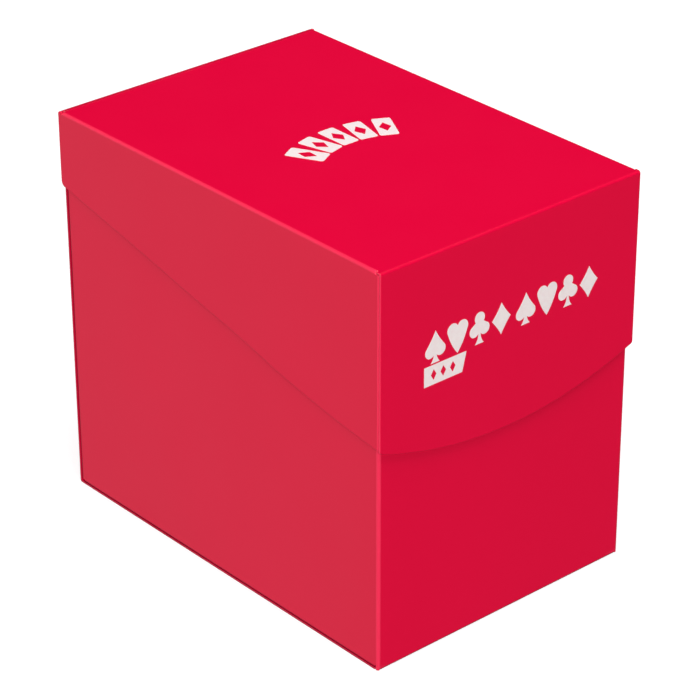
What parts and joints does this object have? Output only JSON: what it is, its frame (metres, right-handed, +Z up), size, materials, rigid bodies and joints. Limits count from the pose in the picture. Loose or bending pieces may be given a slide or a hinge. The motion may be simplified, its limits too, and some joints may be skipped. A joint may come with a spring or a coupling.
{
  "type": "card deck box",
  "caption": "Upright box folded from thin plastic sheet for a deck of sleeved cards, with a hinged lid, a deep curved front flap and a loose divider inside.",
  "frame": {"origin": "centre of the closed box's footprint, on the surface it stands on", "axes": "+Z up, -Y towards the front flap, +Y towards the hinge, +X to the right when facing the front from outside"},
  "size_m": [0.0776, 0.1128, 0.1],
  "materials": {
    "red_sheet": "satin, lightly grained polypropylene sheet"
  },
  "bodies": {
    "body": {"bottom_panel": "red_sheet", "front_wall": "red_sheet", "back_wall": "red_sheet", "left_wall": "red_sheet", "right_wall": "red_sheet", "left_rear_glue_flap": "red_sheet", "right_rear_glue_flap": "red_sheet", "left_bottom_glue_flap": "red_sheet", "right_bottom_glue_flap": "red_sheet", "lid_back_flap": "red_sheet", "hinge_crease": "red_sheet"},
    "lid": {"lid_top_panel": "red_sheet", "lid_front_flap": "red_sheet", "lid_left_flap": "red_sheet", "lid_right_flap": "red_sheet", "lid_left_front_tab": "red_sheet", "lid_right_front_tab": "red_sheet"},
    "divider": {"card_divider": "red_sheet"}
  },
  "joints": [
    {"name": "lid_hinge", "type": "hinge", "parent": "body", "child": "lid", "pos_m": [0, 0.05615, 0.09975], "axis": [-1, 0, 0], "range_deg": [0, 240], "deforming": ["hinge_crease"]},
    {"name": "divider_slide", "type": "slide", "parent": "body", "child": "divider", "axis": [0, 1, 0], "range_m": [-0.0785, 0.0285]}
  ]
}
